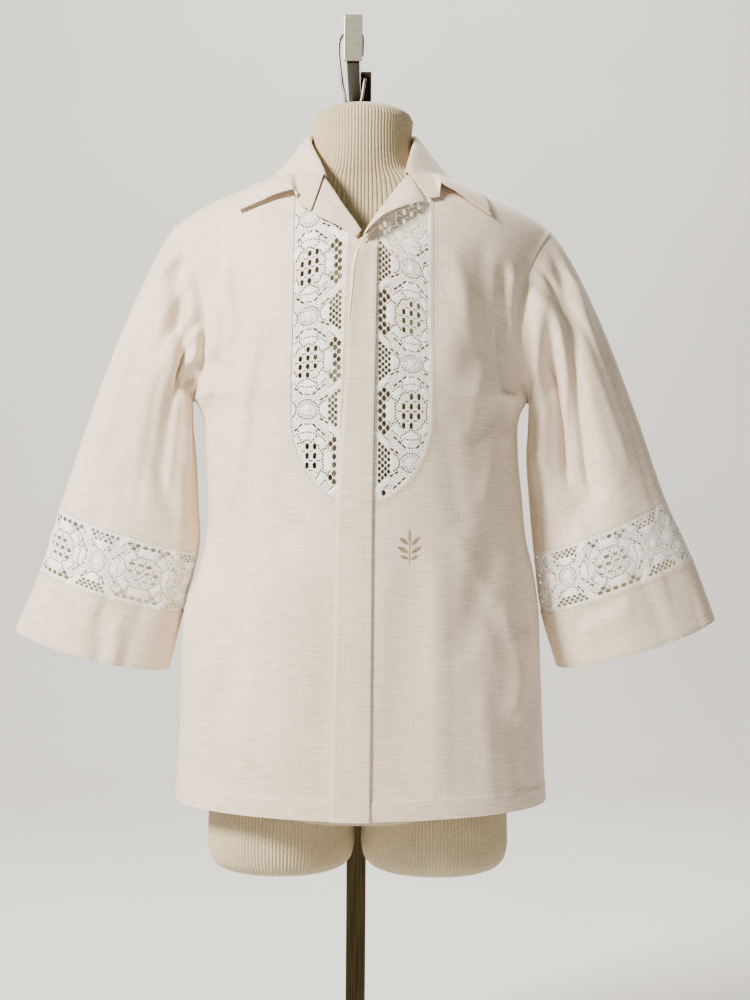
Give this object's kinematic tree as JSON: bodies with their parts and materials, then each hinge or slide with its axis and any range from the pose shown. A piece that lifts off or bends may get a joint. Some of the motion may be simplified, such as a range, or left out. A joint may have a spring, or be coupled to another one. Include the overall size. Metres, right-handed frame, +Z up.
{
  "type": "lace-inset shirt on a dress form stand",
  "caption": "Short-collared cream shirt with a lace bib and lace bands on wide three-quarter sleeves, worn by a limbless form that hangs from a flat steel stand.",
  "frame": {"origin": "middle of the underside of the stand's base", "axes": "+Z up, the wearer faces -Y, and the wearer's right is at -X"},
  "size_m": [0.837, 0.38, 1.388],
  "materials": {
    "cloth": "slubbed linen, low sheen",
    "lace": "white cotton lace",
    "jersey": "fine ribbed knit",
    "steel": "brushed",
    "wire": "dark, drawn"
  },
  "bodies": {
    "root": {"front_right": "cloth", "front_left": "cloth", "back": "cloth", "placket": "cloth", "collar": "cloth", "lapel_right": "cloth", "lapel_left": "cloth", "sleeve_right": "cloth", "sleeve_left": "cloth", "cuff_right": "cloth", "cuff_left": "cloth", "bib_lace_right": "lace", "bib_lace_left": "lace", "sleeve_lace_right_front": "lace", "sleeve_lace_right_back": "lace", "sleeve_lace_left_front": "lace", "sleeve_lace_left_back": "lace", "form": "jersey", "hook": "wire", "arm": "steel", "end_plate": "steel", "post": "steel", "base": "steel"}
  },
  "joints": []
}
